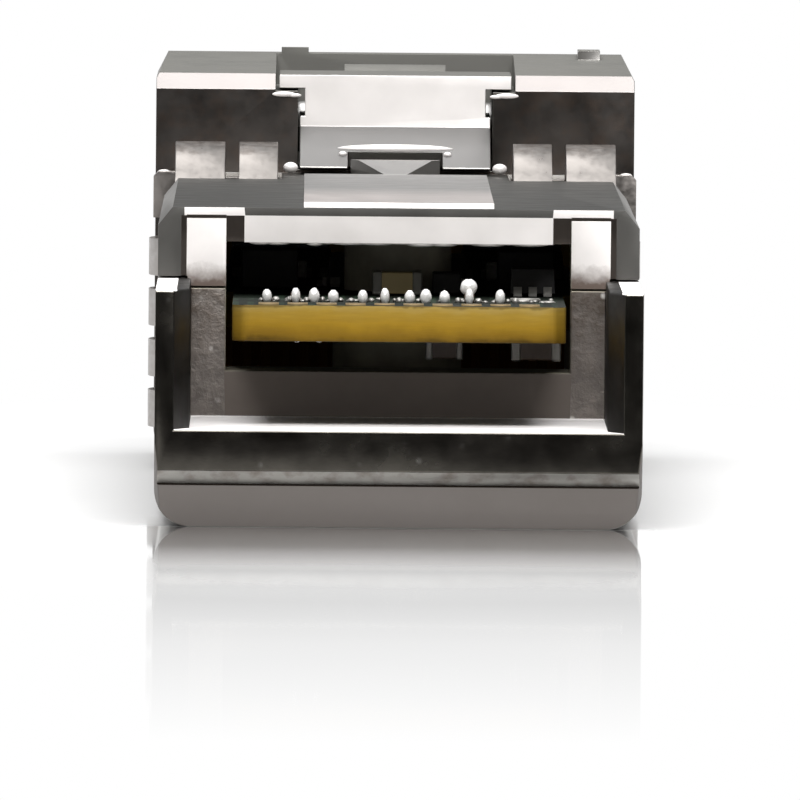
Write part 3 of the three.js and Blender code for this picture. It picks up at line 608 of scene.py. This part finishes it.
def paint_tray(centre, normal):
    """Material of each face of the label-side casting, by place, which sets its painted light and shade."""
    side = abs(centre.x)
    in_tray = centre.y < THROAT_Y + 0.1
    by_rear = centre.y < REAR_Y + 1
    if at_throat(centre, normal):
        return AS_CAST if side > BLOCK_INNER else END_WALL
    if by_rear and SEAM_LOW < centre.z < SEAM_HIGH and normal.z > 0.3:
        return SEAM_SHADOW
    if in_tray and normal.z > 0.9 and centre.z < TRAY_FLOOR + 0.3:
        return TRAY_BRIGHT
    if in_tray and normal.z > 0.9 and centre.z > SKIRT_TOP - 0.5:
        return TRAY_BRIGHT if side > SKIRT_SHINE else MOUTH
    if by_rear and centre.z < LEAD_IN_TOP:
        return LEAD_IN
    if by_rear and centre.z < STRIP_TOP and normal.y < -0.4:
        return STRIP
    if in_tray and side < MOUTH_OUTER and abs(normal.x) > 0.3:
        return MOUTH
    if within(centre):
        return INNER
    return DARK_MIRROR if at_rear_face(centre, normal) else SATIN


def paint_roof(centre, normal):
    """Material of each face of the latch-side casting, by place, which sets its painted light and shade."""
    side = abs(centre.x)
    if at_throat(centre, normal):
        if side > BLOCK_OUTER + 0.1 or (side < RECESS_INNER and centre.z > RECESS_TOP):
            return GREY_FACE
        return BLOCK if side > BLOCK_INNER and centre.z < BODY_TOP - 0.3 else BRIGHT
    if centre.y < THROAT_Y + 1 and centre.z < BODY_TOP - 0.1 and side < HALF_BODY - 0.1:
        return END_WALL
    if normal.y < -0.9 and abs(centre.y - NOSE_Y) < 0.1:
        return FLANK
    if centre.y < NOSE_Y + 0.5 and normal.y < -0.5 and centre.z > SLOPE_LOW:
        return SLOPE
    if normal.z > 0.9 and centre.z > NOSE_TOP_LOW:
        return TOP_GREY
    if side < CHANNEL_OUTER and centre.z > CHANNEL_GREY_LOW and centre.y > NOSE_Y + 0.5:
        return TOP_GREY
    if normal.z > 0.9 and centre.z > BODY_TOP + 0.02 and centre.y < NOSE_Y - 3:
        return RAISED_STRIP
    if normal.z > 0.9 and abs(centre.z - BODY_TOP) < 0.05:
        return ROOF_TOP
    if centre.y < THROAT_Y + 2 and normal.y < -0.3 and centre.z > BODY_TOP:
        return BRIGHT
    return INNER if within(centre) else SATIN


def paint_slider(centre, normal):
    """Material of each face of the slider: a painted highlight on its rear face, and on its top the nose's
    painted grey.
    """
    if normal.y < -0.9 and centre.z > SLIDER_FACE_LOW:
        return BRIGHT
    if normal.z > 0.5:
        return TOP_GREY if centre.z > NOSE_TOP_LOW else RAMP
    return SATIN


def tray_rounding(at):
    """Softer edges on the skirts' tops and the tray's floor, and none along the seam."""
    if abs(at.y - THROAT_Y) < 0.1 and at.z < TRAY_FLOOR + 0.13:
        return 0.17
    if at.y > REAR_Y + 1:
        return None
    if SEAM_LOW < at.z < SEAM_HIGH + 0.1:
        return 0.0
    if at.z > SKIRT_TOP - 0.25:
        return 0.22
    return 0.11 if abs(at.z - TRAY_FLOOR) < 0.13 else None


def roof_rounding(at):
    """Softer edges on the nose's slope and at the corner recesses, and a crisp upper edge on the wall."""
    by_throat = abs(at.y - THROAT_Y) < 0.1
    if abs(at.y - NOSE_Y) < 0.6 and at.z > SLOPE_LOW - 0.2:
        return 0.2
    if by_throat and at.z > BODY_TOP - 0.15:
        return 0.03
    if by_throat and abs(abs(at.x) - RECESS_INNER) < 0.05:
        return 0.16
    return None


def collar_rounding(at):
    """Softer edges on the fingers above the body."""
    return 0.14 if at.z > BODY_TOP + 0.1 and at.y < NOSE_Y - 0.4 else None


def make_castings():
    """The two castings, whose rear faces are divided where the paint changes."""
    block_planes = [(X_AXIS, side * place) for side in SIDES for place in (BLOCK_INNER, BLOCK_OUTER + 0.07)]
    skirt_planes = [(Y_AXIS, THROAT_Y)] + [(X_AXIS, side * SKIRT_SHINE) for side in SIDES]
    recess_planes = [(X_AXIS, side * RECESS_INNER) for side in SIDES] + [(Z_AXIS, RECESS_TOP)]
    tray_looks = [DARK_MIRROR, AS_CAST, TRAY_BRIGHT, END_WALL, LEAD_IN, SATIN, STRIP, MOUTH, SEAM_SHADOW, INNER]
    roof_looks = [SATIN, BRIGHT, GREY_FACE, FLANK, SLOPE, ROOF_TOP, TOP_GREY, END_WALL, BLOCK, INNER,
                  RAISED_STRIP]
    rounded_copy("label_side_shell", "label_side_casting", 0.09, tray_looks, paint_tray,
                 split=[(at_throat, block_planes), (on_skirt_top, skirt_planes)],
                 width_at=tray_rounding, widest_mm=0.22)
    rounded_copy("latch_side_shell", "latch_side_casting", 0.08, roof_looks, paint_roof,
                 split=[(at_throat, block_planes + recess_planes)],
                 width_at=roof_rounding, widest_mm=0.2)


def make_collar():
    rounded_copy("spring_collar", "earthing_collar", 0.05, [COLLAR_METAL],
                 width_at=collar_rounding, widest_mm=0.14)


def make_slider():
    """The latch slider, with a lip over its window and a dot at each end of the lip, both painted bright as
    highlights.
    """
    rounded_copy("actuator_slider", "latch_slider", 0.1, [SATIN, BRIGHT, RAMP, TOP_GREY], paint_slider)
    lip = Shape()
    lip.blob((0, RAMP_Y, 9.25), (1.75, 0.16, 0.13))
    for side in SIDES:
        lip.blob((side * 1.53, RAMP_Y - 0.35, 9.1), (0.12, 0.1, 0.08))
    lip.piece("slider_window_lip_highlights", "actuator_slider", [BRIGHT])


def make_wall_flash():
    """Ragged flash along the lower edge of the wall above the board, painted bright as a highlight."""
    chance = random.Random(3)
    flash = Shape()
    x, end = -4.0, 4.0
    while x < end:
        reach = chance.uniform(0.25, 0.6)
        flash.blob((x + reach / 2, THROAT_Y + 0.1, THROAT_TOP), (reach, 0.09, chance.uniform(0.02, 0.1)))
        x += reach * 1.3
    flash.piece("wall_edge_flash_highlight", "latch_side_shell", [BRIGHT])


def make_channel_lips():
    """Turned-over edges where the channel's flanges meet the shoulder, painted bright as highlights."""
    lips = Shape()
    for side in SIDES:
        lips.blob((side * 3.26, NOSE_Y, SLOPE_LOW), (0.36, 0.07, 0.08))
        lips.blob((side * 2.95, NOSE_Y, SLOPE_LOW - 0.03), (0.2, 0.06, 0.06))
    lips.piece("channel_lip_highlights", "latch_side_shell", [BRIGHT])


def make_collar_dimples():
    """Small dimples beside the collar's top fingers and at its corners, painted bright as highlights."""
    dimples = Shape()
    for side in SIDES:
        dimples.blob((side * 3.05, NOSE_Y - 2.5, BODY_TOP + 0.22), (0.22, 0.2, 0.16))
        dimples.blob((side * 6.75, NOSE_Y - 1.0, BODY_TOP), (0.2, 0.3, 0.1))
    dimples.piece("collar_dimples", "spring_collar", [BRIGHT])


def paint_shaft(centre, normal):
    """The cam in the middle is painted as grey as the nose around it: painted shade over its bright steel."""
    return TOP_GREY if abs(centre.x) < 1.6 else STEEL


def make_release():
    """Bail, shaft and return spring."""
    rounded_copy("bail_frame", "bail_wire", 0.25, [STEEL], segments=4)
    rounded_copy("bail_grip", "bail_handle", 0.25, [BLACK_PLASTIC], segments=4)
    rounded_copy("bail_shaft", "bail_cam_shaft", 0.06, [STEEL, TOP_GREY], paint_shaft)
    spring = rounded_copy("return_spring", "slider_return_coil", 0.01, [STEEL], segments=1)
    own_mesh(spring)


def make_optics():
    """The receptacle's ports and the two optical subassemblies behind them."""
    rounded_copy("optical_receptacle", "duplex_receptacle", 0.15, [BLACK_PLASTIC])
    rounded_copy("optics_clamp", "barrel_clamp", 0.12, [STEEL])
    for name, look in (("transmitter", STEEL), ("receiver", AMBER_PLASTIC)):
        rounded_copy(name + "_barrel", name + "_socket_barrel", 0.07, [look])
        rounded_copy(name + "_can", name + "_header_can", 0.12, [GOLD])
        rounded_copy(name + "_split_sleeve", name + "_alignment_sleeve", 0.04, [CERAMIC])
        rounded_copy(name + "_flex", name + "_ribbon", 0.02, [FLEX_FILM])
    rounded_copy("transmitter_fibre_stub", "transmitter_stub", 0.06, [CERAMIC])


# ---------------------------------------------------------------- board and its parts

def paint_board(centre, normal):
    return MASK if abs(normal.z) > 0.5 else LAMINATE


def board_rounding(at):
    """The two corners at the rear of the board are round."""
    corner = abs(at.x) > 4 and at.y < BOARD_LOW.y + 0.6 and BOARD_LOW.z + 0.2 < at.z < BOARD_HIGH.z - 0.2
    return 0.15 if corner else None


def make_board():
    """The board, with contacts on both of its faces."""
    rounded_copy("circuit_board", "main_board", 0.03, [LAMINATE, MASK], paint_board,
                 width_at=board_rounding, widest_mm=0.15)
    contacts = Shape()
    count, pitch, half_width = 10, 0.8, 0.28
    end = BOARD_LOW.y + 2.3
    for i in range(count):
        x = (i - (count - 1) / 2) * pitch
        start = BOARD_LOW.y + (0.6 if i % 3 else 0.35)
        for face, out in ((BOARD_HIGH.z, 1), (BOARD_LOW.z, -1)):
            low, high = sorted((face - out * 0.01, face + out * 0.012))
            contacts.block((x - half_width, start, low), (x + half_width, end, high))
    contacts.piece("edge_contacts", "circuit_board", [CONTACT])


def make_small_parts():
    """A row of small soldered parts on the tongue, each with a rounded joint towards the rear."""
    joint, body, terminal = range(3)
    chance = random.Random(7)
    parts = Shape()
    top = BOARD_HIGH.z
    row_y = REAR_Y + 6.2
    x = -3.65
    while x < 2.9:
        width = chance.uniform(0.12, 0.16)
        height = chance.uniform(0.19, 0.23)
        y = row_y + chance.uniform(-0.1, 0.3)
        parts.blob((x, y, top + height * 0.75), (width, 0.17, height), joint, 0.07, chance)
        parts.block((x - 0.13, y + 0.1, top), (x + 0.13, y + 0.8, top + height), body)
        for _ in range(2):
            place = (x + chance.uniform(-0.45, 0.45), y + 0.2, top + 0.05)
            radii = (chance.uniform(0.05, 0.11), 0.12, chance.uniform(0.05, 0.1))
            parts.blob(place, radii, terminal, 0.1, chance)
        x += width + chance.uniform(0.3, 0.75)
    for _ in range(30):
        place = (chance.uniform(-3.9, 4.3), row_y + chance.uniform(0.2, 2.4), top + 0.02)
        radii = (chance.uniform(0.06, 0.22), 0.14, chance.uniform(0.04, 0.08))
        parts.blob(place, radii, terminal, 0.1, chance)
    for x in (-2.8, -2.2):
        parts.blob((x, row_y, BOARD_LOW.z - 0.02), (0.12, 0.2, 0.1), joint, 0.08, chance)
    parts.blob((1.93, row_y + 0.6, top + 0.42), (0.23, 0.2, 0.23), joint, 0.08, chance)
    parts.block((1.82, row_y + 0.6, top), (2.05, row_y + 1.0, top + 0.4), terminal)
    parts.block((3.1, row_y + 1.4, top), (3.9, row_y + 1.9, top + 0.1), terminal)
    parts.piece("soldered_small_parts", "circuit_board", [SOLDER, CAPACITOR, TERMINAL])


def ended_part(node, name, axis, share, body, ends):
    """A two-terminal part: its own box, with tinned ends a little proud of the body."""
    low, high = box_mm(node)
    shape = Shape()
    proud = 0.03
    reach = (high[axis] - low[axis]) * share
    body_low, body_high = low.copy(), high.copy()
    body_low[axis] += reach * 0.6
    body_high[axis] -= reach * 0.6
    inset = Vector([0.0 if i == axis else proud for i in range(3)])
    shape.block(body_low + inset, body_high - inset, 0)
    for start in (low[axis], high[axis] - reach):
        end_low, end_high = low.copy(), high.copy()
        end_low[axis], end_high[axis] = start, start + reach
        shape.block(end_low, end_high, 1)
    piece = shape.piece(name, node, [body, ends], 0.06, 3)
    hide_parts(node)


def add_leads(shape, low, high, axis, count, foot, facing):
    """Bent leads along two sides of a package: each has a shoulder by the body and a foot on the board."""
    other = 1 - axis
    pitch = (high[other] - low[other]) / count
    for i in range(count):
        centre = low[other] + pitch * (i + 0.5)
        for side in SIDES:
            edge = high[axis] if side > 0 else low[axis]
            for inner, outer, rise in ((-0.02, 0.12, 0.26), (0.08, 0.26, 0.07)):
                a, b = Vector((0, 0, 0)), Vector((0, 0, 0))
                a[other], b[other] = centre - pitch * 0.28, centre + pitch * 0.28
                a[axis], b[axis] = sorted((edge + side * inner, edge + side * outer))
                a.z, b.z = sorted((foot, foot + facing * rise))
                shape.block(a, b, 1)


def packaged_chip(node, name, leads, sides="xy", facing=1):
    """A moulded package with a pin-one dimple and rows of bent leads. facing is -1 under the board."""
    low, high = box_mm(node)
    shape = Shape()
    gap = 0.08
    if facing > 0:
        foot, top = low.z, high.z
        shape.block((low.x, low.y, low.z + gap), high, 0, taper=0.05)
    else:
        foot, top = high.z, low.z
        shape.block(low, (high.x, high.y, high.z - gap), 0)
    for letter in sides:
        add_leads(shape, low, high, "xy".index(letter), leads, foot, facing)
    shape.blob((low.x + 0.35, high.y - 0.35, top), (0.13, 0.13, 0.02), 0)
    piece = shape.piece(name, node, [CHIP, TERMINAL], 0.03)
    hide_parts(node)


def make_components():
    ended_part("tantalum_capacitor", "tantalum_capacitor_body", X_AXIS, 0.2, TANTALUM, TERMINAL)
    ended_part("input_filter_capacitor", "input_capacitor_body", X_AXIS, 0.2, CAPACITOR, TERMINAL)
    ended_part("output_filter_capacitor", "output_capacitor_body", X_AXIS, 0.2, CAPACITOR, TERMINAL)
    ended_part("ferrite_bead", "ferrite_bead_body", Y_AXIS, 0.2, FERRITE, CHIP)
    ended_part("transmit_inductor", "transmit_inductor_body", Y_AXIS, 0.18, FERRITE, CHIP)
    ended_part("receive_inductor", "receive_inductor_body", Y_AXIS, 0.18, FERRITE, CHIP)
    for letter in "abcd":
        ended_part("coupling_capacitor_" + letter, "coupling_chip_" + letter, Y_AXIS, 0.25, CAPACITOR, SOLDER)
    packaged_chip("voltage_supervisor_ic", "supervisor_package", 3, "y")
    packaged_chip("microcontroller_ic", "microcontroller_package", 8)
    packaged_chip("laser_driver_ic", "laser_driver_package", 6)
    packaged_chip("limiting_amplifier_ic", "amplifier_package", 6)
    packaged_chip("memory_ic", "memory_package", 4, "y", facing=-1)
    packaged_chip("supply_regulator_ic", "regulator_package", 3, "x", facing=-1)
    rounded_copy("crystal", "crystal_can", 0.12, [STEEL])
    rounded_copy("laser_driver_heat_pad", "driver_gap_pad", 0.12, [HEAT_PAD])
    rounded_copy("amplifier_heat_pad", "amplifier_gap_pad", 0.12, [HEAT_PAD])
    rounded_copy("microwave_absorber", "absorber_sheet", 0.15, [FERRITE])
    rounded_copy("blank_label", "label_film_sheet", 0.03, [LABEL_FILM], segments=2)
    for place in ("rear", "front"):
        rounded_copy("cover_screw_" + place, "housing_screw_" + place, 0.05, [STEEL])


PLAIN_FINISHES = {
    "steel": STEEL, "gold_plate": GOLD, "black_plastic": BLACK_PLASTIC, "amber_plastic": AMBER_PLASTIC,
    "ceramic": CERAMIC, "flex_film": FLEX_FILM, "chip_black": CHIP, "capacitor_body": CAPACITOR,
    "ferrite": FERRITE, "heat_pad": HEAT_PAD, "label_paper": LABEL_FILM, "nickel_cast": SATIN,
    "nickel_cast_dark": SATIN, "spring_steel": COLLAR_METAL, "board_laminate": LAMINATE,
}


def finish_cad_nodes():
    """Every CAD node that still shows gets the finish of its material slot."""
    for part in frame["record"]["subparts"]:
        mesh = NODES[part["node"]].data
        mesh.materials.clear()
        mesh.materials.append(PLAIN_FINISHES[part["material_slot"]])


make_camera()
make_world()
make_floor()
make_lights()
finish_cad_nodes()
make_castings()
make_collar()
make_slider()
make_wall_flash()
make_channel_lips()
make_collar_dimples()
make_release()
make_optics()
make_board()
make_small_parts()
make_components()

bpy.context.scene.view_settings.view_transform = "Standard"
